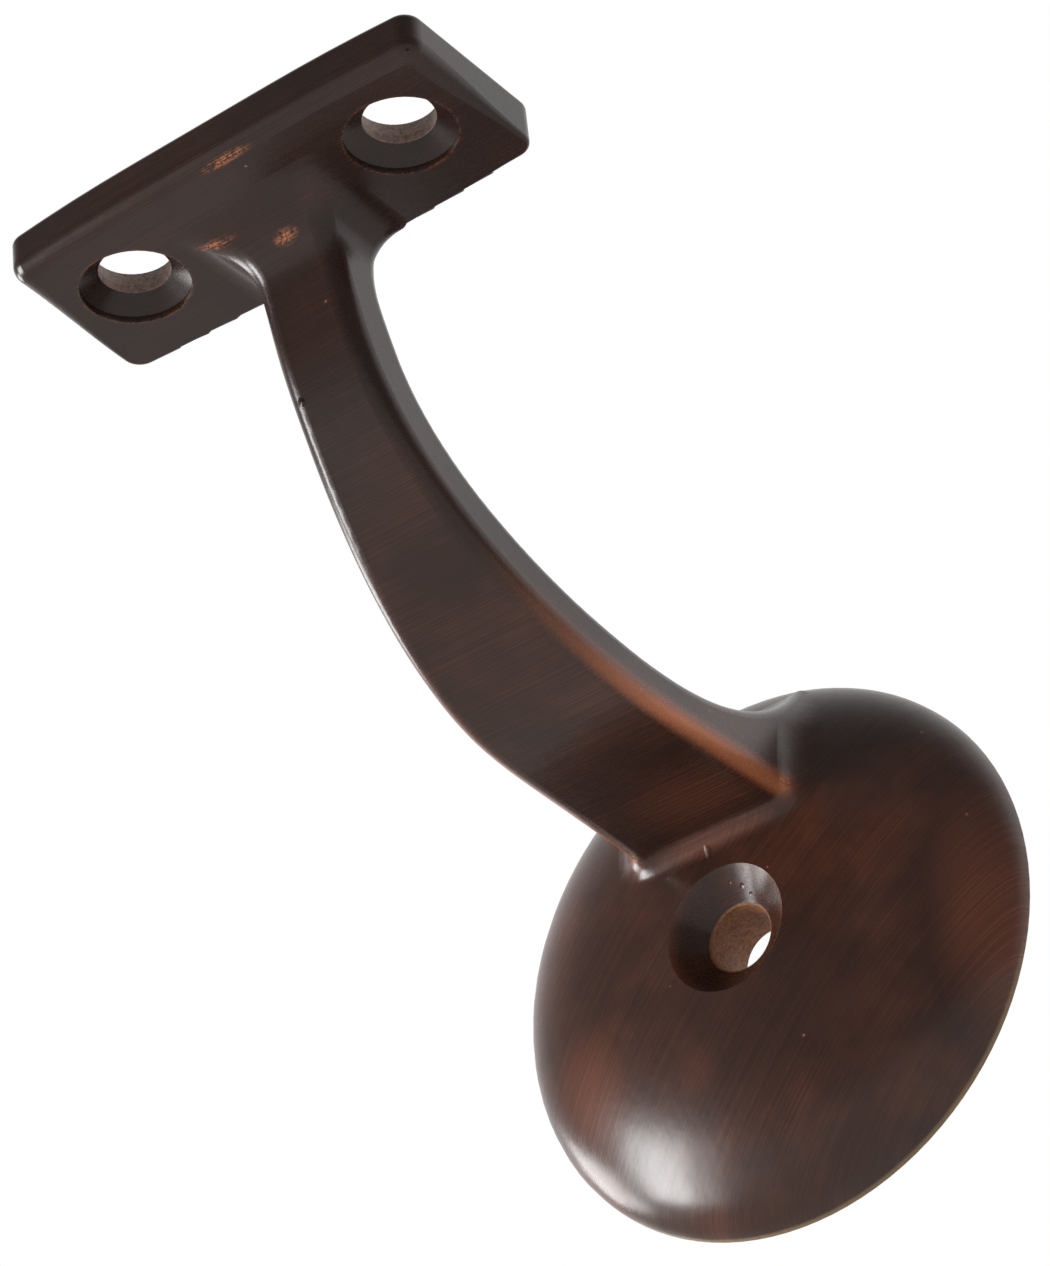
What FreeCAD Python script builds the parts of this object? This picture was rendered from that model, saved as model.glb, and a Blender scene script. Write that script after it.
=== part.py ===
import FreeCAD, Part
import math
import os

# Handrail bracket: one casting made of a domed wall rose, a curved tapering arm and a flat saddle
# plate that the handrail rests on. All sizes are in millimetres.
# The origin is the centre of the rose on the wall plane. +X runs along the rail, +Y goes into the
# wall and +Z is up, so the whole bracket lies at negative Y.

# Wall rose: half an ellipsoid with one countersunk screw hole at its crown
rose_diameter = 63.5
rose_height = 10.1
wall_bore_diameter = 7.6
wall_mouth_diameter = 14.7
wall_seat_depth = 3.1

# Saddle plate
rail_projection = 81.3          # wall to the line of the rail screws
saddle_height = 54.7            # rose centre to the underside of the plate
saddle_length = 53.3
saddle_width = 22.3
saddle_bow = 0.8                # each long side falls back by this much at the ends
saddle_straight = 18.0          # middle of the long sides, before the bow starts
saddle_thickness = 5.3
saddle_corner_radius = 2.1
saddle_offset = 0.5             # plate's centre line to the line of the rail screws
soft_round = 1.9                # underside edge on the room side and at the ends
crisp_round = 0.5               # underside edge on the wall side
topside_round = 0.8

# Rail screw holes: a short straight mouth, a cone for the screw head, a land, then moulding draft
hole_spacing = 35.1
hole_diameter = 7.55
hole_mouth_diameter = 11.8
hole_mouth_depth = 0.8
hole_cone_depth = 1.55
hole_land = 0.9
hole_top_diameter = 8.8

# Arm: a level root, a bend that turns upwards, and a neck that spreads out under the plate
arm_drop = 11.9                 # rose centre up to the arm's underside at the wall
arm_straight = 32.2             # wall to the start of the bend
bend_radius = 45.7              # on the underside
root_width = 21.2
bend_width = 19.2
neck_width = 10.7
bend_depth = 6.4
neck_depth = 7.1
taper_start = 22.0              # degrees above which the bend keeps the neck's width
thinning_start = 57.0           # degrees above which it keeps the neck's depth
root_sweep = 34.0               # radius of the arm's top where it rises into the rose
root_sweep_reach = 28.0         # wall to the lowest point of that rise
neck_sweep = 9.0                # radius that carries the arm's face out under the plate
neck_flare = 4.6                # radius that does the same at each side
outer_edge_round = 2.0
inner_edge_round = 1.5
root_fillet = 2.4               # under the arm, where it meets the rose
root_side_fillet = 4.0          # at its sides and top
near = 0.01                     # slack when an edge is picked by its place

# Where the arm is given a cross-section, as shares of a stretch or as degrees of the bend
root_shares = (0.11, 0.23, 0.35, 0.48, 0.66, 0.9)
bend_turns = (90, 80, 70, 60, 50, 40, 30, 21)
neck_shares = (0.0, 0.16, 0.33, 0.48, 0.64, 0.8, 0.92, 1.0)

ORIGIN = FreeCAD.Vector(0, 0, 0)
X_AXIS = FreeCAD.Vector(1, 0, 0)
Y_AXIS = FreeCAD.Vector(0, 1, 0)
Z_AXIS = FreeCAD.Vector(0, 0, 1)

# Places that follow from the sizes
bend_centre_y = -arm_straight
bend_centre_z = arm_drop + bend_radius
plate_centre_y = -rail_projection + saddle_offset
plate_wall_side = plate_centre_y + saddle_width / 2


def polygon_face(points):
    return Part.Face(Part.makePolygon(points + points[:1]))


def smooth_step(share):
    share = min(1.0, max(0.0, share))
    return share * share * (3 - 2 * share)


def round_edges(shape, edges, radius_at):
    """Round edges with a radius that may change along each of them, by the place of its ends."""
    model = FreeCAD.newDocument("rounding")
    body = model.addObject("Part::Feature", "Body")
    body.Shape = shape
    rounds = model.addObject("Part::Fillet", "Rounds")
    rounds.Base = body
    table = []
    for number, edge in enumerate(shape.Edges, 1):
        if any(edge.isSame(chosen) for chosen in edges):
            start = radius_at(edge.valueAt(edge.FirstParameter))
            end = radius_at(edge.valueAt(edge.LastParameter))
            table.append((number, start, end))
    rounds.Edges = table
    model.recompute()
    result = rounds.Shape.copy()
    FreeCAD.closeDocument(model.Name)
    return result


# ---------------------------------------------------------------- rose


def make_rose():
    radius = rose_diameter / 2
    rim = FreeCAD.Vector(radius, 0, 0)
    crown = FreeCAD.Vector(0, -rose_height, 0)
    dome = Part.Arc(Part.Ellipse(rim, crown, ORIGIN), 0, math.pi / 2).toShape()
    start = dome.valueAt(dome.FirstParameter)
    end = dome.valueAt(dome.LastParameter)
    outline = Part.Wire([dome, Part.makeLine(end, ORIGIN), Part.makeLine(ORIGIN, start)])
    return Part.Face(outline).revolve(ORIGIN, Y_AXIS, 360)


def make_wall_hole():
    bore = wall_bore_diameter / 2
    mouth = wall_mouth_diameter / 2
    mouth_y = -rose_height * math.sqrt(1 - (wall_mouth_diameter / rose_diameter) ** 2)
    beyond = 2 * rose_height
    points = [
        FreeCAD.Vector(0, beyond, 0),
        FreeCAD.Vector(bore, beyond, 0),
        FreeCAD.Vector(bore, mouth_y + wall_seat_depth, 0),
        FreeCAD.Vector(mouth, mouth_y, 0),
        FreeCAD.Vector(mouth, -beyond, 0),
        FreeCAD.Vector(0, -beyond, 0),
    ]
    return polygon_face(points).revolve(ORIGIN, Y_AXIS, 360)


# ---------------------------------------------------------------- saddle plate


def saddle_outline():
    """Plan of the plate: long sides that bow outwards, joined by straight ends."""
    end = saddle_length / 2
    middle = saddle_straight / 2
    side = saddle_width / 2
    run = end - middle
    radius = (run ** 2 + saddle_bow ** 2) / (2 * saddle_bow)
    half_turn = math.asin(run / radius) / 2
    part_run = radius * math.sin(half_turn)
    part_fall = radius * (1 - math.cos(half_turn))
    edges = []
    for sy in (-1, 1):
        left = FreeCAD.Vector(-middle, sy * side, 0)
        right = FreeCAD.Vector(middle, sy * side, 0)
        edges.append(Part.makeLine(left, right))
        for sx, start in ((-1, left), (1, right)):
            between = FreeCAD.Vector(sx * (middle + part_run), sy * (side - part_fall), 0)
            corner = FreeCAD.Vector(sx * end, sy * (side - saddle_bow), 0)
            edges.append(Part.Arc(start, between, corner).toShape())
    for sx in (-1, 1):
        low = FreeCAD.Vector(sx * end, saddle_bow - side, 0)
        high = FreeCAD.Vector(sx * end, side - saddle_bow, 0)
        edges.append(Part.makeLine(low, high))
    return Part.Wire(Part.sortEdges(edges)[0])


def underside_radius(point):
    """Soft on the room side and at the ends, nearly crisp on the wall side."""
    wall_corner = saddle_width / 2 - saddle_bow - saddle_corner_radius
    return crisp_round if point.y > wall_corner - near else soft_round


def make_saddle():
    plate = Part.Face(saddle_outline()).extrude(Z_AXIS * saddle_thickness)
    corners = []
    for edge in plate.Edges:
        upright = edge.BoundBox.ZLength > saddle_thickness / 2
        if upright and abs(edge.BoundBox.Center.x) > saddle_straight / 2 + near:
            corners.append(edge)
    plate = plate.makeFillet(saddle_corner_radius, corners)
    upper = [edge for edge in plate.Edges if edge.BoundBox.ZMin > saddle_thickness / 2]
    plate = plate.makeFillet(topside_round, upper)
    lower = [edge for edge in plate.Edges if edge.BoundBox.ZMax < saddle_thickness / 2]
    plate = round_edges(plate, lower, underside_radius)
    plate.translate(FreeCAD.Vector(0, plate_centre_y, saddle_height))
    return plate


def make_rail_hole(x):
    land = hole_diameter / 2
    mouth = hole_mouth_diameter / 2
    top = hole_top_diameter / 2
    cone_end = hole_mouth_depth + hole_cone_depth
    beyond = 2 * saddle_thickness
    points = [
        FreeCAD.Vector(0, 0, -saddle_thickness),
        FreeCAD.Vector(mouth, 0, -saddle_thickness),
        FreeCAD.Vector(mouth, 0, hole_mouth_depth),
        FreeCAD.Vector(land, 0, cone_end),
        FreeCAD.Vector(land, 0, cone_end + hole_land),
        FreeCAD.Vector(top, 0, saddle_thickness),
        FreeCAD.Vector(top, 0, beyond),
        FreeCAD.Vector(0, 0, beyond),
    ]
    hole = polygon_face(points).revolve(ORIGIN, Z_AXIS, 360)
    hole.translate(FreeCAD.Vector(x, -rail_projection, saddle_height))
    return hole


# ---------------------------------------------------------------- arm


def underside_point(turn):
    """Side view of the bend's outer curve: turn is 90 degrees at its start and falls upwards."""
    y = bend_centre_y - bend_radius * math.cos(turn)
    z = bend_centre_z - bend_radius * math.sin(turn)
    return FreeCAD.Vector(0, y, z)


def topside_point(turn):
    """Side view of the inner curve, which closes on the outer one towards the wall."""
    thin_from = math.radians(thinning_start)
    thinning = max(0.0, turn - thin_from) / (math.pi / 2 - thin_from)
    radius = bend_radius - neck_depth + (neck_depth - bend_depth) * thinning
    y = bend_centre_y - radius * math.cos(turn)
    z = bend_centre_z - radius * math.sin(turn)
    return FreeCAD.Vector(0, y, z)


def arm_section(outer, inner, width):
    """Rectangle across the arm with round corners, between two points of its side view."""
    across = X_AXIS
    up = (inner - outer).normalize()
    corners = [
        (outer - across * (width / 2), across, up, outer_edge_round),
        (outer + across * (width / 2), across * -1, up, outer_edge_round),
        (inner + across * (width / 2), across * -1, up * -1, inner_edge_round),
        (inner - across * (width / 2), across, up * -1, inner_edge_round),
    ]
    arcs = []
    for corner, inwards, lengthways, radius in corners:
        trim = radius * (1 - math.sqrt(0.5))
        on_face = corner + inwards * radius
        middle = corner + (inwards + lengthways) * trim
        on_side = corner + lengthways * radius
        arcs.append(Part.Arc(on_face, middle, on_side).toShape())
    lower_left, lower_right, upper_right, upper_left = arcs
    edges = [
        Part.makeLine(lower_left.Vertexes[0].Point, lower_right.Vertexes[0].Point),
        lower_right,
        Part.makeLine(lower_right.Vertexes[1].Point, upper_right.Vertexes[1].Point),
        upper_right,
        Part.makeLine(upper_right.Vertexes[0].Point, upper_left.Vertexes[0].Point),
        upper_left,
        Part.makeLine(upper_left.Vertexes[1].Point, lower_left.Vertexes[1].Point),
        lower_left,
    ]
    return Part.Wire(edges)


def root_sections():
    """Level stretch from inside the rose to the bend; its top rises into the rose."""
    sections = []
    for share in root_shares:
        reach = root_sweep_reach * share
        from_lowest = root_sweep_reach - reach
        rise = root_sweep - math.sqrt(root_sweep ** 2 - from_lowest ** 2)
        outer = FreeCAD.Vector(0, -reach, arm_drop)
        inner = FreeCAD.Vector(0, -reach, arm_drop + bend_depth + rise)
        width = root_width + (bend_width - root_width) * reach / arm_straight
        sections.append(arm_section(outer, inner, width))
    return sections


def bend_sections():
    sections = []
    for degrees in bend_turns:
        turn = math.radians(degrees)
        widening = smooth_step((degrees - taper_start) / (90 - taper_start))
        width = neck_width + (bend_width - neck_width) * widening
        sections.append(arm_section(underside_point(turn), topside_point(turn), width))
    return sections


def neck_sections():
    """The arm's face sweeps out under the plate and its sides flare, ending on the underside."""
    sweep_z = saddle_height - neck_sweep
    reach = bend_radius + neck_sweep
    lean = math.asin((bend_centre_z - sweep_z) / reach)
    sweep_y = bend_centre_y - reach * math.cos(lean)
    start_y = topside_point(lean).y
    sections = []
    for share in neck_shares:
        turn = lean + (math.pi / 2 - lean) * share
        outer_y = sweep_y + neck_sweep * math.cos(turn)
        outer_z = sweep_z + neck_sweep * math.sin(turn)
        left = (1 - share) ** 2
        inner_y = plate_wall_side + (start_y - plate_wall_side) * left
        inner_z = outer_z + neck_depth * math.tan(lean * left)
        below = min(saddle_height - outer_z, neck_flare)
        flare = neck_flare - math.sqrt(2 * neck_flare * below - below ** 2)
        outer = FreeCAD.Vector(0, outer_y, outer_z)
        inner = FreeCAD.Vector(0, inner_y, inner_z)
        sections.append(arm_section(outer, inner, neck_width + 2 * flare))
    return sections


def make_arm():
    neck = neck_sections()
    body = Part.makeLoft(root_sections() + bend_sections() + neck, True, False)
    return body, Part.Face(neck[-1]).extrude(Z_AXIS * crisp_round)


# ---------------------------------------------------------------- casting


def edges_between(shape, first_kind, second_kind):
    found = []
    for edge in shape.Edges:
        faces = shape.ancestorsOfType(edge, Part.Face)
        kinds = sorted(type(face.Surface).__name__ for face in faces)
        if kinds == sorted((first_kind, second_kind)):
            found.append(edge)
    return found


def root_radius(point):
    return root_fillet if point.z < arm_drop + near else root_side_fillet


def make_bracket():
    arm, neck_cap = make_arm()
    lower = make_rose().fuse(arm)
    root_edges = edges_between(lower, "BSplineSurface", "SurfaceOfRevolution")
    lower = round_edges(lower, root_edges, root_radius)
    bracket = lower.fuse([make_saddle(), neck_cap])
    holes = [make_wall_hole()]
    for side in (-1, 1):
        holes.append(make_rail_hole(side * hole_spacing / 2))
    return bracket.cut(holes)


os.makedirs("parts", exist_ok=True)
bracket = make_bracket()
solids = bracket.Solids
print("valid", bracket.isValid(), "solids", len(solids), "volume", round(bracket.Volume, 1))
solids[0].exportStep("parts/bracket_casting.step")
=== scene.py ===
import math

import bpy
from mathutils import Matrix, Quaternion, Vector


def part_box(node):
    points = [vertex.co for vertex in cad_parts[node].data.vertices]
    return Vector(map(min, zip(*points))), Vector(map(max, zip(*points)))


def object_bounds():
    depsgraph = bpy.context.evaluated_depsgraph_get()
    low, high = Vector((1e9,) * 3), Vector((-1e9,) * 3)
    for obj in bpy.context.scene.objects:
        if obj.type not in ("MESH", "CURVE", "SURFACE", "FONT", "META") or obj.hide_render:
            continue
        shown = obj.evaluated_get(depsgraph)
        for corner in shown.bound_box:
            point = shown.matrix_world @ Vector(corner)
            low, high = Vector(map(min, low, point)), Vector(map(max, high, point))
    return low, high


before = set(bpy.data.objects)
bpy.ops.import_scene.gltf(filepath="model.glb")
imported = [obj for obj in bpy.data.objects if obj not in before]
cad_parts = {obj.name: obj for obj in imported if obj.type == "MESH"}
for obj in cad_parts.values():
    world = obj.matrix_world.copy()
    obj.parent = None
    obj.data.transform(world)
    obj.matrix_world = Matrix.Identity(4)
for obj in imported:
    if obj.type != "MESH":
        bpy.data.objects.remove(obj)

# Cast handrail bracket in oil-rubbed bronze: the finish of the casting, a pale floor, soft studio
# light and a camera below and in front of it. Lengths are in metres, in the frame of the casting:
# +X along the rail, +Y into the wall, +Z up, origin at the centre of the rose on the wall plane.

bl_info = {
    "name": "Handrail Bracket",
    "version": (1, 0, 0),
    "blender": (4, 5, 0),
    "location": "View3D > Sidebar > Bracket",
    "description": "Finishes a cast handrail bracket in oil-rubbed bronze and sets up its studio",
    "category": "Object",
}

CASTING = "bracket_casting"
SLOT = "oil_rubbed_bronze"
MM = 0.001
cad_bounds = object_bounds()

# Sizes of the casting that the finish follows
ARM_STRAIGHT = 32.2 * MM                # wall to the start of the bend
BEND_CENTRE_Z = 57.6 * MM
BEND_RADIUS = 45.7 * MM                 # on the arm's underside
ROSE_RADIUS = 31.75 * MM
WALL_BORE_RADIUS = 3.8 * MM
WALL_MOUTH_RADIUS = 7.4 * MM            # with a hair to spare
RAIL_BORE_RADIUS = 3.78 * MM
RAIL_SCREW = Vector((17.55, -81.3, 54.7)) * MM
RAIL_CONE_TOP = RAIL_SCREW.z + 2.3 * MM
PLATE_TOP = cad_bounds[1][2]
CLEAR_OF_ROSE = -12 * MM                # along Y, just in front of the rose's crown
NEAR = 0.05 * MM                        # slack when a face is picked by its place

# Stretches over which one part of the finish gives way to the next: (start, end)
ARM_TO_ROSE_BRUSH = (-11.5 * MM, -9.0 * MM)         # along Y
LESS_RUBBED_HIGH_UP = (38 * MM, 16 * MM)            # along Z, downwards
WEAR_TOWARDS_ROSE = (-66 * MM, -26 * MM)            # along Y
WEAR_ENDS_AT_ROSE = (-8.5 * MM, -11.5 * MM)         # along Y, away from the wall
WORN_ABOVE_UNDERSIDE = (3.8 * MM, 0.3 * MM)         # inwards from the arm's underside
WALL_BORE_EDGE = (0.3 * MM, 0.05 * MM)              # outwards from the bore
RAIL_BORE_EDGE = (0.85 * MM, 0.65 * MM)             # outwards from the bore, past its draft
GROUND_RIM = (0.5 * MM, 0.3 * MM)                   # inwards from the rose's rim
GROUND_AT_WALL = (-0.8 * MM, -0.4 * MM)             # along Y
GROUND_LOW_HALF = (-6 * MM, -18 * MM)               # along Z, downwards

# Pattern sizes: distance between neighbouring features
CLOUD_SIZE = 14 * MM
MOTTLE_SIZE = 0.5 * MM
SPECK_SPACING = 3.5 * MM
WAVE_SIZE = 1.4 * MM
ROSE_BRUSH_DEPTH = 60 * MM              # the rose's lines run through it, as if drawn on its front

# Relief in millimetres
BRUSH_RELIEF = 0.004
WAVE_RELIEF = 0.012
BORE_RELIEF = 0.25

# Options that several nodes share
ADD = {"operation": "ADD"}
SUBTRACT = {"operation": "SUBTRACT"}
MULTIPLY = {"operation": "MULTIPLY"}
MULTIPLY_ADD = {"operation": "MULTIPLY_ADD"}
MAXIMUM = {"operation": "MAXIMUM"}
GREATER_THAN = {"operation": "GREATER_THAN"}
LENGTH = {"operation": "LENGTH"}
CLAMPED_MULTIPLY = {"operation": "MULTIPLY", "use_clamp": True}
CLAMPED_MULTIPLY_ADD = {"operation": "MULTIPLY_ADD", "use_clamp": True}
EASED = {"interpolation_type": "SMOOTHSTEP"}


def linear_colour(text):
    """Turn an sRGB hex value into the linear colour that a shader socket takes."""
    channels = []
    for start in (1, 3, 5):
        value = int(text[start:start + 2], 16) / 255
        channels.append(value / 12.92 if value <= 0.04045 else ((value + 0.055) / 1.055) ** 2.4)
    return channels + [1.0]


def add_node(tree, kind, settings=None, inputs=None):
    """Add a node, set its options, and fill its inputs with values, outputs or other nodes.

    A node given as an input stands for its first output.
    """
    node = tree.nodes.new(kind)
    for name, value in (settings or {}).items():
        setattr(node, name, value)
    for name, value in (inputs or {}).items():
        if isinstance(value, bpy.types.Node):
            value = value.outputs[0]
        if isinstance(value, bpy.types.NodeSocket):
            tree.links.new(value, node.inputs[name])
        else:
            node.inputs[name].default_value = value
    return node


# ---------------------------------------------------------------- settings


class BracketFinishSettings(bpy.types.PropertyGroup):
    patina: bpy.props.FloatVectorProperty(
        name="Patina", description="Dark brown of the oiled surface",
        subtype="COLOR", size=4, min=0, max=1, default=linear_colour("#271a16"))
    rubbed: bpy.props.FloatVectorProperty(
        name="Rubbed Brown", description="Warmer brown of brushed streaks and rubbed patches",
        subtype="COLOR", size=4, min=0, max=1, default=linear_colour("#804a36"))
    copper: bpy.props.FloatVectorProperty(
        name="Bare Copper", description="Copper plate that shows where an edge is worn through",
        subtype="COLOR", size=4, min=0, max=1, default=linear_colour("#d08059"))
    wall_bore: bpy.props.FloatVectorProperty(
        name="Wall Bore", description="Thin brassy plate inside the wall screw's hole",
        subtype="COLOR", size=4, min=0, max=1, default=linear_colour("#a56f46"))
    rail_bore: bpy.props.FloatVectorProperty(
        name="Rail Bores", description="Rough casting inside the rail screws' holes",
        subtype="COLOR", size=4, min=0, max=1, default=linear_colour("#a08478"))
    ground_rim: bpy.props.FloatVectorProperty(
        name="Ground Rim", description="Brassy line where the rose's rim was ground flat",
        subtype="COLOR", size=4, min=0, max=1, default=linear_colour("#a8916a"))
    brush_width: bpy.props.FloatProperty(
        name="Brush Width", description="Width of one brush line, drawn twice as coarse as it is",
        subtype="DISTANCE", unit="LENGTH", default=0.18 * MM, min=0.05 * MM)
    brush_length: bpy.props.FloatProperty(
        name="Brush Length", description="Length of one brush line",
        subtype="DISTANCE", unit="LENGTH", default=20 * MM, min=1 * MM)
    rose_slant: bpy.props.FloatProperty(
        name="Rose Slant", description="Slant of the brush lines across the rose",
        subtype="ANGLE", default=math.radians(42))
    wear_width: bpy.props.FloatProperty(
        name="Wear Width", description="How far the wear reaches in from an edge",
        subtype="DISTANCE", unit="LENGTH", default=1.2 * MM, min=0.2 * MM)


class BracketStudioSettings(bpy.types.PropertyGroup):
    floor_drop: bpy.props.FloatProperty(
        name="Floor Drop", description="Height of the bracket above the floor",
        subtype="DISTANCE", unit="LENGTH", default=0.9, min=0.1)
    key_power: bpy.props.FloatProperty(
        name="Key Power", description="Power of the soft box beside the bracket",
        subtype="POWER", unit="POWER", default=3.0, min=0)
    edge_power: bpy.props.FloatProperty(
        name="Edge Power", description="Power of the soft box behind it, for the arm's edge",
        subtype="POWER", unit="POWER", default=1.5, min=0)
    room_light: bpy.props.FloatProperty(
        name="Room Light", description="Strength of the dim side of the room",
        default=0.18, min=0, max=1)
    azimuth: bpy.props.FloatProperty(
        name="Azimuth", description="Turn of the camera from the front towards +X",
        subtype="ANGLE", default=math.radians(33.32))
    elevation: bpy.props.FloatProperty(
        name="Elevation", description="Tilt of the camera above the horizon",
        subtype="ANGLE", default=math.radians(-34.50))
    roll: bpy.props.FloatProperty(
        name="Roll", description="Lean of the camera to its right",
        subtype="ANGLE", default=math.radians(6.27))
    distance: bpy.props.FloatProperty(
        name="Distance", description="Camera to the point it aims at",
        subtype="DISTANCE", unit="LENGTH", default=0.4909, min=0.1)
    aim_offset: bpy.props.FloatVectorProperty(
        name="Aim Offset", description="From the middle of the bracket to the camera's aim",
        subtype="TRANSLATION", unit="LENGTH", default=(3.3 * MM, -1.0 * MM, 3.7 * MM))
    lens: bpy.props.FloatProperty(
        name="Lens", description="Focal length of the camera in millimetres",
        default=136.2, min=20)


# ---------------------------------------------------------------- finish

# Places on the casting in millimetres: centre, half size, and how strongly each shows
COPPER_PLACES = (
    ((2.2, -90.5, 54.8), (4.0, 0.8, 1.2), 0.8),         # two scrapes under the plate
    ((0.9, -79.4, 52.2), (2.0, 1.1, 1.1), 0.9),
    ((-7.0, -81.6, 53.9), (3.6, 0.9, 1.2), 0.6),        # along the flare of the neck
    ((10.3, -10.9, 13.0), (1.9, 1.7, 1.7), 1.0),        # corner where the arm meets the rose
)
RUBBED_PLACES = (
    ((28.5, -4.0, -8.0), (8.0, 9.0, 22.0), 1.0),        # right side of the rose
    ((-21.0, -6.8, -11.0), (9.0, 6.0, 11.0), 0.65),     # lower left of the rose
    ((2.0, -17.0, 11.9), (11.0, 9.0, 3.0), 0.8),        # under the arm's root
    ((10.0, -20.0, 18.0), (3.0, 13.0, 9.0), 0.8),       # right side of the arm's root
    ((6.7, -81.0, 53.7), (4.0, 5.0, 2.5), 0.6),         # web between the arm and the plate
    ((-12.0, -86.0, 54.7), (16.0, 6.0, 2.0), 0.35),     # underside of the plate
    ((0.0, -10.5, 10.8), (12.0, 2.2, 2.0), 1.0),        # fillet under the root
    ((6.4, -13.7, 11.9), (1.5, 0.5, 0.8), 1.0),         # specks by the root
    ((4.6, -10.7, 11.2), (1.6, 0.6, 0.9), 1.0),
)
NIBS = (                                                # strength is the height in millimetres
    ((-0.9, -9.7, 10.0), (0.5, 0.5, 1.3), 0.10),
    ((-3.6, -72.9, 36.8), (0.5, 0.6, 0.6), 0.22),
    ((25.5, -90.3, 55.2), (0.4, 0.4, 0.4), 0.15),
)
PITS = (                                                # strength is the depth in millimetres
    ((1.8, -8.2, 5.1), (0.4, 0.4, 0.3), 0.05),
    ((0.6, -8.5, 5.9), (0.2, 0.3, 0.3), 0.03),
    ((2.4, -7.6, 4.1), (0.3, 0.3, 0.2), 0.04),
)


def at_places(tree, place, places):
    """Soft-edged spots at a list of places, each with its own strength."""
    total = 0.0
    for centre, half_size, strength in places:
        from_centre = add_node(tree, "ShaderNodeVectorMath", SUBTRACT, {
            0: place, 1: [value * MM for value in centre]})
        scaled = add_node(tree, "ShaderNodeVectorMath", {"operation": "DIVIDE"}, {
            0: from_centre, 1: [value * MM for value in half_size]})
        away = add_node(tree, "ShaderNodeVectorMath", LENGTH, {0: scaled})
        spot = add_node(tree, "ShaderNodeMapRange", EASED, {
            "Value": away.outputs["Value"],
            "From Min": 1.0, "From Max": 0.1, "To Max": strength})
        total = add_node(tree, "ShaderNodeMath", MAXIMUM, {0: total, 1: spot})
    return total


def brush_lines(tree, place, slant, depth, settings):
    """Fine lines along X turned by the slant; depth is how far they go in Y."""
    turned = add_node(tree, "ShaderNodeMapping", {"vector_type": "POINT"}, {
        "Vector": place, "Rotation": (0, slant, 0)})
    stretched = add_node(tree, "ShaderNodeVectorMath", {"operation": "DIVIDE"}, {
        0: turned, 1: (settings.brush_length, depth, settings.brush_width)})
    return add_node(tree, "ShaderNodeTexNoise", inputs={
        "Vector": stretched, "Scale": 1.0, "Detail": 4.0, "Roughness": 0.65})


def distance_from_rose_axis(tree, axes):
    level = add_node(tree, "ShaderNodeCombineXYZ", inputs={
        "X": axes.outputs["X"], "Y": axes.outputs["Z"]})
    return add_node(tree, "ShaderNodeVectorMath", LENGTH, {0: level}).outputs["Value"]


def outside_of_rose(tree, axes, from_axis):
    """Mask of the rose's dome and back, without the seat of the wall screw."""
    on_dome = add_node(tree, "ShaderNodeMapRange", EASED, {
        "Value": axes.outputs["Y"],
        "From Min": ARM_TO_ROSE_BRUSH[0], "From Max": ARM_TO_ROSE_BRUSH[1]})
    off_seat = add_node(tree, "ShaderNodeMath", GREATER_THAN, {
        0: from_axis, 1: WALL_MOUTH_RADIUS})
    on_back = add_node(tree, "ShaderNodeMath", GREATER_THAN, {
        0: axes.outputs["Y"], 1: -NEAR})
    outside = add_node(tree, "ShaderNodeMath", MAXIMUM, {0: off_seat, 1: on_back})
    return add_node(tree, "ShaderNodeMath", MULTIPLY, {0: on_dome, 1: outside})


def worn_arm_edges(tree, axes, facing):
    """The arm's two lower edges, more worn towards the rose: a band that follows the bend."""
    past_straight = add_node(tree, "ShaderNodeMath", ADD, {
        0: axes.outputs["Y"], 1: ARM_STRAIGHT})
    along = add_node(tree, "ShaderNodeMath", {"operation": "MINIMUM"}, {
        0: past_straight, 1: 0.0})
    below = add_node(tree, "ShaderNodeMath", SUBTRACT, {0: axes.outputs["Z"], 1: BEND_CENTRE_Z})
    spoke = add_node(tree, "ShaderNodeCombineXYZ", inputs={"Y": along, "Z": below})
    radius = add_node(tree, "ShaderNodeVectorMath", LENGTH, {0: spoke})
    near_underside = add_node(tree, "ShaderNodeMapRange", EASED, {
        "Value": radius.outputs["Value"],
        "From Min": BEND_RADIUS - WORN_ABOVE_UNDERSIDE[0],
        "From Max": BEND_RADIUS - WORN_ABOVE_UNDERSIDE[1]})
    right = add_node(tree, "ShaderNodeMapRange", EASED, {
        "Value": facing.outputs["X"], "From Min": 0.05, "From Max": 0.85})
    left = add_node(tree, "ShaderNodeMapRange", EASED, {
        "Value": facing.outputs["X"], "From Min": -0.05, "From Max": -0.85, "To Max": 0.6})
    side = add_node(tree, "ShaderNodeMath", ADD, {0: right, 1: left})
    band = add_node(tree, "ShaderNodeMath", MULTIPLY, {0: near_underside, 1: side})
    for start, end in (WEAR_TOWARDS_ROSE, WEAR_ENDS_AT_ROSE):
        share = add_node(tree, "ShaderNodeMapRange", EASED, {
            "Value": axes.outputs["Y"], "From Min": start, "From Max": end})
        band = add_node(tree, "ShaderNodeMath", MULTIPLY, {0: band, 1: share})
    return band


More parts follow.
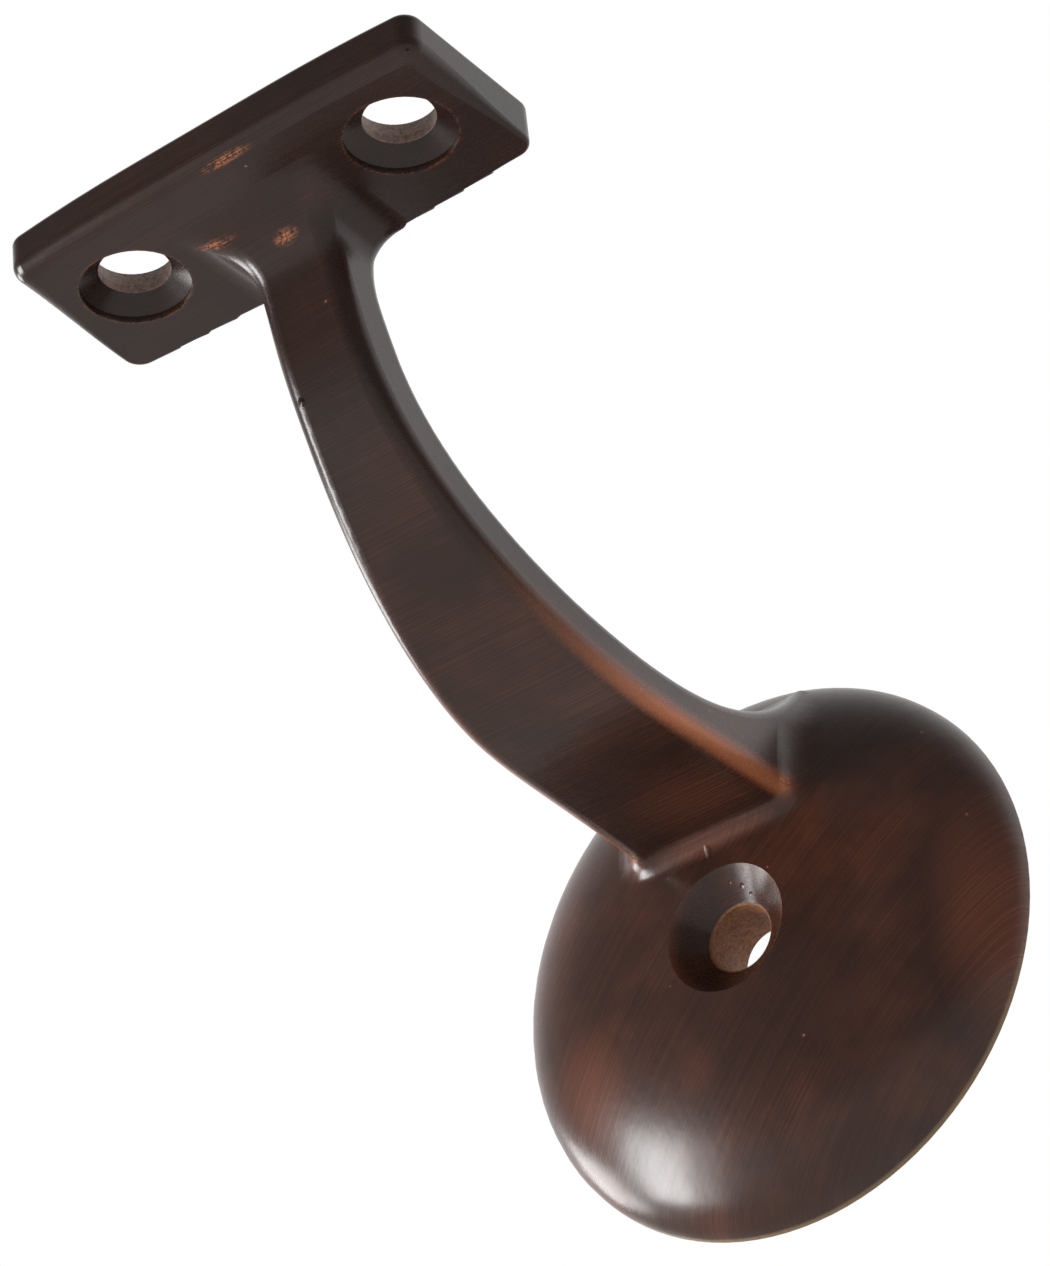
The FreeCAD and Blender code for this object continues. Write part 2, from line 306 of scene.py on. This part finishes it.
def rubbed_share(tree, place, axes, brush, on_rose, edges):
    """How much warmer brown shows: in brush lines, cloudy patches and the places rubbed most."""
    clouds = add_node(tree, "ShaderNodeTexNoise", inputs={
        "Vector": place, "Scale": 1 / CLOUD_SIZE, "Detail": 3.0, "Roughness": 0.6})
    patch = add_node(tree, "ShaderNodeMapRange", EASED, {
        "Value": clouds, "From Min": 0.36, "From Max": 0.76, "To Max": 0.45})
    depth = add_node(tree, "ShaderNodeMath", MAXIMUM, {
        0: patch, 1: at_places(tree, place, RUBBED_PLACES)})
    for more in (edges, 0.2):
        depth = add_node(tree, "ShaderNodeMath", ADD, {0: depth, 1: more})
    low_down = add_node(tree, "ShaderNodeMapRange", EASED, {
        "Value": axes.outputs["Z"],
        "From Min": LESS_RUBBED_HIGH_UP[0], "From Max": LESS_RUBBED_HIGH_UP[1], "To Min": 0.45})
    depth = add_node(tree, "ShaderNodeMath", MULTIPLY, {0: depth, 1: low_down})

    streak = add_node(tree, "ShaderNodeMapRange", EASED, {
        "Value": brush, "From Min": 0.36, "From Max": 0.74})
    between_lines = add_node(tree, "ShaderNodeMapRange", inputs={
        "Value": on_rose, "To Min": 0.2, "To Max": 0.5})
    lines = add_node(tree, "ShaderNodeMath", CLAMPED_MULTIPLY_ADD, {
        0: streak, 1: 0.45, 2: between_lines})
    return add_node(tree, "ShaderNodeMath", MULTIPLY, {0: depth, 1: lines})


def worn_to_copper(tree, place, brush, mottle, edges, settings):
    """Copper in ragged scrapes and along rims, and smooth along the arm's worn edges."""
    inside = add_node(tree, "ShaderNodeAmbientOcclusion", {
        "inside": True, "only_local": True, "samples": 8}, {"Distance": settings.wear_width})
    rims = add_node(tree, "ShaderNodeMapRange", EASED, {
        "Value": inside.outputs["AO"], "From Min": 0.72, "From Max": 0.42, "To Max": 0.22})
    worn = add_node(tree, "ShaderNodeMath", MAXIMUM, {
        0: at_places(tree, place, COPPER_PLACES), 1: rims})
    ragged = add_node(tree, "ShaderNodeMath", ADD, {0: mottle, 1: brush})
    keep = add_node(tree, "ShaderNodeMapRange", inputs={
        "Value": ragged, "From Min": 0.92, "From Max": 1.10, "To Max": 1.2})
    worn = add_node(tree, "ShaderNodeMath", CLAMPED_MULTIPLY, {0: worn, 1: keep})
    bright_edges = add_node(tree, "ShaderNodeMath", {"operation": "POWER"}, {0: edges, 1: 1.5})
    return add_node(tree, "ShaderNodeMath", MAXIMUM, {0: worn, 1: bright_edges})


def copper_specks(tree, place):
    """Specks about 0.3 mm across, one to a few square centimetres."""
    cells = add_node(tree, "ShaderNodeTexVoronoi", inputs={
        "Vector": place, "Scale": 1 / SPECK_SPACING})
    speck = add_node(tree, "ShaderNodeMapRange", inputs={
        "Value": cells.outputs["Distance"], "From Min": 0.06, "From Max": 0.03, "To Max": 0.5})
    draw = add_node(tree, "ShaderNodeSeparateColor", inputs={0: cells.outputs["Color"]})
    chosen = add_node(tree, "ShaderNodeMath", GREATER_THAN, {0: draw, 1: 0.7})
    return add_node(tree, "ShaderNodeMath", MULTIPLY, {0: speck, 1: chosen})


def inside_bores(tree, axes, from_axis):
    """Masks of the wall screw's bore and of the two rail screws' bores."""
    wall = add_node(tree, "ShaderNodeMapRange", inputs={
        "Value": from_axis,
        "From Min": WALL_BORE_RADIUS + WALL_BORE_EDGE[0],
        "From Max": WALL_BORE_RADIUS + WALL_BORE_EDGE[1]})
    in_rose = add_node(tree, "ShaderNodeMath", GREATER_THAN, {
        0: axes.outputs["Y"], 1: CLEAR_OF_ROSE})
    wall = add_node(tree, "ShaderNodeMath", MULTIPLY, {0: wall, 1: in_rose})

    mirrored = add_node(tree, "ShaderNodeMath", {"operation": "ABSOLUTE"}, {
        0: axes.outputs["X"]})
    spot = add_node(tree, "ShaderNodeCombineXYZ", inputs={
        "X": mirrored, "Y": axes.outputs["Y"]})
    from_rail_screw = add_node(tree, "ShaderNodeVectorMath", {"operation": "DISTANCE"}, {
        0: spot, 1: (RAIL_SCREW.x, RAIL_SCREW.y, 0)})
    rail = add_node(tree, "ShaderNodeMapRange", inputs={
        "Value": from_rail_screw.outputs["Value"],
        "From Min": RAIL_BORE_RADIUS + RAIL_BORE_EDGE[0],
        "From Max": RAIL_BORE_RADIUS + RAIL_BORE_EDGE[1]})
    above_cone = add_node(tree, "ShaderNodeMath", GREATER_THAN, {
        0: axes.outputs["Z"], 1: RAIL_CONE_TOP})
    below_top = add_node(tree, "ShaderNodeMath", {"operation": "LESS_THAN"}, {
        0: axes.outputs["Z"], 1: PLATE_TOP - NEAR})
    for limit in (above_cone, below_top):
        rail = add_node(tree, "ShaderNodeMath", MULTIPLY, {0: rail, 1: limit})
    return wall, rail


def ground_rim(tree, axes, from_axis):
    """The rose's rim was ground flush with the wall, which left a thin line of brassy metal."""
    rim = add_node(tree, "ShaderNodeMapRange", inputs={
        "Value": from_axis,
        "From Min": ROSE_RADIUS - GROUND_RIM[0], "From Max": ROSE_RADIUS - GROUND_RIM[1]})
    at_wall = add_node(tree, "ShaderNodeMapRange", inputs={
        "Value": axes.outputs["Y"],
        "From Min": GROUND_AT_WALL[0], "From Max": GROUND_AT_WALL[1], "To Max": 0.5})
    low_half = add_node(tree, "ShaderNodeMapRange", EASED, {
        "Value": axes.outputs["Z"],
        "From Min": GROUND_LOW_HALF[0], "From Max": GROUND_LOW_HALF[1]})
    ground = add_node(tree, "ShaderNodeMath", MULTIPLY, {0: rim, 1: at_wall})
    return add_node(tree, "ShaderNodeMath", MULTIPLY, {0: ground, 1: low_half})


def cast_relief(tree, place, brush, mottle, bores):
    """Brush lines, the cast skin's slight waves, rough bores, nibs and pits."""
    waves = add_node(tree, "ShaderNodeTexNoise", inputs={
        "Vector": place, "Scale": 1 / WAVE_SIZE, "Detail": 1.0})
    rough_bores = add_node(tree, "ShaderNodeMath", MULTIPLY, {0: bores, 1: mottle})
    relief = add_node(tree, "ShaderNodeMath", MULTIPLY, {0: brush, 1: BRUSH_RELIEF})
    for pattern, height in ((waves, WAVE_RELIEF), (rough_bores, BORE_RELIEF)):
        relief = add_node(tree, "ShaderNodeMath", MULTIPLY_ADD, {
            0: pattern, 1: height, 2: relief})
    for operation, places in ((ADD, NIBS), (SUBTRACT, PITS)):
        relief = add_node(tree, "ShaderNodeMath", operation, {
            0: relief, 1: at_places(tree, place, places)})
    return add_node(tree, "ShaderNodeBump", inputs={
        "Strength": 1.0, "Distance": 1 * MM, "Height": relief})


def bronze_material(settings):
    """Oil-rubbed bronze on a copper-plated zinc casting.

    The casting was plated, darkened, brushed and oiled, so the eye gets a satin dark brown film
    with fine brush lines, warmer where the brush took more off, and bare copper where it wore
    through.
    """
    material = bpy.data.materials.new(SLOT)
    material.use_nodes = True
    tree = material.node_tree
    tree.nodes.clear()
    coordinates = add_node(tree, "ShaderNodeTexCoord")
    place = coordinates.outputs["Object"]
    axes = add_node(tree, "ShaderNodeSeparateXYZ", inputs={0: place})
    facing = add_node(tree, "ShaderNodeSeparateXYZ", inputs={0: coordinates.outputs["Normal"]})
    from_axis = distance_from_rose_axis(tree, axes)
    on_rose = outside_of_rose(tree, axes, from_axis)
    edges = worn_arm_edges(tree, axes, facing)

    # Brush lines run along the rail on the plate and the arm, and slantwise on the rose. Real
    # ones are about 0.1 mm wide, so they are drawn twice as coarse to show.
    brush = add_node(tree, "ShaderNodeMix", {"data_type": "FLOAT"}, {
        "Factor": on_rose,
        "A": brush_lines(tree, place, 0.0, settings.brush_width, settings),
        "B": brush_lines(tree, place, settings.rose_slant, ROSE_BRUSH_DEPTH, settings)})
    # A fine mottle breaks up what has worn through to the copper.
    mottle = add_node(tree, "ShaderNodeTexNoise", inputs={
        "Vector": place, "Scale": 1 / MOTTLE_SIZE, "Detail": 3.0, "Roughness": 0.7})

    # The bores are left as the plating bath left them: rough, pale and without oil.
    wall, rail = inside_bores(tree, axes, from_axis)
    bores = add_node(tree, "ShaderNodeMath", ADD, {0: wall, 1: rail})
    blotch = add_node(tree, "ShaderNodeMapRange", inputs={
        "Value": mottle, "From Min": 0.35, "From Max": 0.6, "To Min": 0.45})
    bare_wall, bare_rail = (
        add_node(tree, "ShaderNodeMath", MULTIPLY, {0: bore, 1: blotch}) for bore in (wall, rail))

    worn = worn_to_copper(tree, place, brush, mottle, edges, settings)
    colour = settings.patina
    for share, over in (
        (rubbed_share(tree, place, axes, brush, on_rose, edges), settings.rubbed),
        (worn, settings.copper),
        (copper_specks(tree, place), settings.copper),
        (bare_wall, settings.wall_bore),
        (bare_rail, settings.rail_bore),
        (ground_rim(tree, axes, from_axis), settings.ground_rim),
    ):
        colour = add_node(tree, "ShaderNodeMix", {"data_type": "RGBA"}, {
            "Factor": share, "A": colour, "B": over}).outputs[2]

    roughness = add_node(tree, "ShaderNodeMapRange", inputs={
        "Value": brush, "From Min": 0.3, "From Max": 0.7, "To Min": 0.24, "To Max": 0.29})
    roughness = add_node(tree, "ShaderNodeMath", CLAMPED_MULTIPLY_ADD, {
        0: bores, 1: 0.3, 2: roughness})
    metallic = add_node(tree, "ShaderNodeMath", MULTIPLY, {0: worn, 1: 0.3})
    shader = add_node(tree, "ShaderNodeBsdfPrincipled", inputs={
        "Base Color": colour, "Roughness": roughness, "Metallic": metallic,
        "Normal": cast_relief(tree, place, brush, mottle, bores)})
    add_node(tree, "ShaderNodeOutputMaterial", inputs={"Surface": shader})
    return material


class BRACKET_OT_finish_casting(bpy.types.Operator):
    """Give the casting its oil-rubbed bronze finish"""
    bl_idname = "bracket.finish_casting"
    bl_label = "Finish Casting"

    def execute(self, context):
        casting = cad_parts[CASTING]
        material = bronze_material(context.scene.bracket_finish)
        casting.data.materials.clear()
        casting.data.materials.append(material)
        return {"FINISHED"}


# ---------------------------------------------------------------- studio

FLOOR_RADIUS = 6.0
FLOOR_SIDES = 96
FLOOR_COLOUR = "#f2f1ef"
SENSOR_WIDTH = 36                       # millimetres, as is the lens

# Directions are given as right, up and back of the camera.
BRIGHT_SIDE = (0.45, -0.15, -0.86)
BRIGHTENING = (-0.12, 0.62)             # cosine to the bright side where it starts, and is white
SOFT_BOX_DISTANCE = 0.60
SOFT_BOXES = (                          # name, direction, width and height, setting of its power
    ("key_soft_box", (-0.96, -0.27, 0.04), (0.16, 0.30), "key_power"),
    ("edge_soft_box", (-0.74, -0.46, -0.48), (0.28, 0.20), "edge_power"),
)


def camera_pose(settings):
    """The direction from the camera's aim back to it, and its rotation, leaning to its right."""
    level = math.cos(settings.elevation)
    away = Vector((
        math.sin(settings.azimuth) * level,
        -math.cos(settings.azimuth) * level,
        math.sin(settings.elevation)))
    looking = (-away).to_track_quat("-Z", "Y")
    return away, looking @ Quaternion((0, 0, 1), -settings.roll)


def lay_floor(height):
    """Lay a wide round floor of pale matt paper."""
    bpy.ops.object.select_all(action="DESELECT")
    bpy.ops.mesh.primitive_circle_add(
        vertices=FLOOR_SIDES, radius=FLOOR_RADIUS, fill_type="NGON", location=(0, 0, height))
    floor = bpy.context.object
    floor.name = "floor"
    bpy.ops.object.transform_apply(location=True, rotation=True, scale=True)
    paper = bpy.data.materials.new("pale_paper")
    paper.use_nodes = True
    tree = paper.node_tree
    tree.nodes.clear()
    matt = add_node(tree, "ShaderNodeBsdfDiffuse", inputs={"Color": linear_colour(FLOOR_COLOUR)})
    add_node(tree, "ShaderNodeOutputMaterial", inputs={"Surface": matt})
    floor.data.materials.append(paper)


def light_room(settings, turn):
    """A room that is white behind the bracket and dimmer on the camera's side, to every ray."""
    world = bpy.data.worlds.new("pale_room")
    bpy.context.scene.world = world
    world.use_nodes = True
    tree = world.node_tree
    tree.nodes.clear()
    bright_side = (turn @ Vector(BRIGHT_SIDE)).normalized()
    direction = add_node(tree, "ShaderNodeTexCoord").outputs["Generated"]
    facing = add_node(tree, "ShaderNodeVectorMath", {"operation": "DOT_PRODUCT"}, {
        0: direction, 1: bright_side})
    glow = add_node(tree, "ShaderNodeMapRange", EASED, {
        "Value": facing.outputs["Value"],
        "From Min": BRIGHTENING[0], "From Max": BRIGHTENING[1], "To Min": settings.room_light})
    background = add_node(tree, "ShaderNodeBackground", inputs={
        "Color": (1, 1, 1, 1), "Strength": glow})
    add_node(tree, "ShaderNodeOutputWorld", inputs={"Surface": background})


def add_soft_box(name, towards, size, power, turn, middle):
    """Hang a soft box in a direction, upright to the camera and facing the bracket."""
    direction = (turn @ Vector(towards)).normalized()
    across = (turn @ Vector((0, 1, 0))).cross(direction).normalized()
    lamp = bpy.data.lights.new(name, "AREA")
    lamp.shape = "RECTANGLE"
    lamp.size, lamp.size_y = size
    lamp.energy = power
    box = bpy.data.objects.new(name, lamp)
    bpy.context.scene.collection.objects.link(box)
    box.location = middle + direction * SOFT_BOX_DISTANCE
    box.rotation_mode = "QUATERNION"
    sides = Matrix((across, direction.cross(across), direction))
    box.rotation_quaternion = sides.transposed().to_quaternion()


def place_camera(settings, away, turn, middle):
    lens = bpy.data.cameras.new("camera")
    lens.lens = settings.lens
    lens.sensor_width = SENSOR_WIDTH
    lens.clip_start = 10 * MM
    camera = bpy.data.objects.new("camera", lens)
    bpy.context.scene.collection.objects.link(camera)
    camera.location = middle + Vector(settings.aim_offset) + away * settings.distance
    camera.rotation_mode = "QUATERNION"
    camera.rotation_quaternion = turn
    bpy.context.scene.camera = camera


class BRACKET_OT_set_stage(bpy.types.Operator):
    """Lay the floor, light the room and place the camera"""
    bl_idname = "bracket.set_stage"
    bl_label = "Set Stage"

    def execute(self, context):
        settings = context.scene.bracket_studio
        low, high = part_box(CASTING)
        middle = (low + high) / 2
        away, turn = camera_pose(settings)
        lay_floor(low.z - settings.floor_drop)
        light_room(settings, turn)
        for name, towards, size, power in SOFT_BOXES:
            add_soft_box(name, towards, size, getattr(settings, power), turn, middle)
        place_camera(settings, away, turn, middle)
        context.scene.view_settings.view_transform = "Standard"
        return {"FINISHED"}


# ---------------------------------------------------------------- panel and run


class BRACKET_PT_panel(bpy.types.Panel):
    """Settings and steps of the handrail bracket"""
    bl_idname = "BRACKET_PT_panel"
    bl_label = "Handrail Bracket"
    bl_space_type = "VIEW_3D"
    bl_region_type = "UI"
    bl_category = "Bracket"

    def draw(self, context):
        layout = self.layout
        for settings, step in (
            (context.scene.bracket_finish, BRACKET_OT_finish_casting),
            (context.scene.bracket_studio, BRACKET_OT_set_stage),
        ):
            column = layout.column(align=True)
            for name in settings.__annotations__:
                column.prop(settings, name)
            column.operator(step.bl_idname)


CLASSES = (
    BracketFinishSettings,
    BracketStudioSettings,
    BRACKET_OT_finish_casting,
    BRACKET_OT_set_stage,
    BRACKET_PT_panel,
)


def register():
    for item in CLASSES:
        bpy.utils.register_class(item)
    bpy.types.Scene.bracket_finish = bpy.props.PointerProperty(type=BracketFinishSettings)
    bpy.types.Scene.bracket_studio = bpy.props.PointerProperty(type=BracketStudioSettings)


def unregister():
    del bpy.types.Scene.bracket_studio
    del bpy.types.Scene.bracket_finish
    for item in reversed(CLASSES):
        bpy.utils.unregister_class(item)


def main():
    register()
    bpy.ops.bracket.finish_casting()
    bpy.ops.bracket.set_stage()


if __name__ == "__main__":
    main()
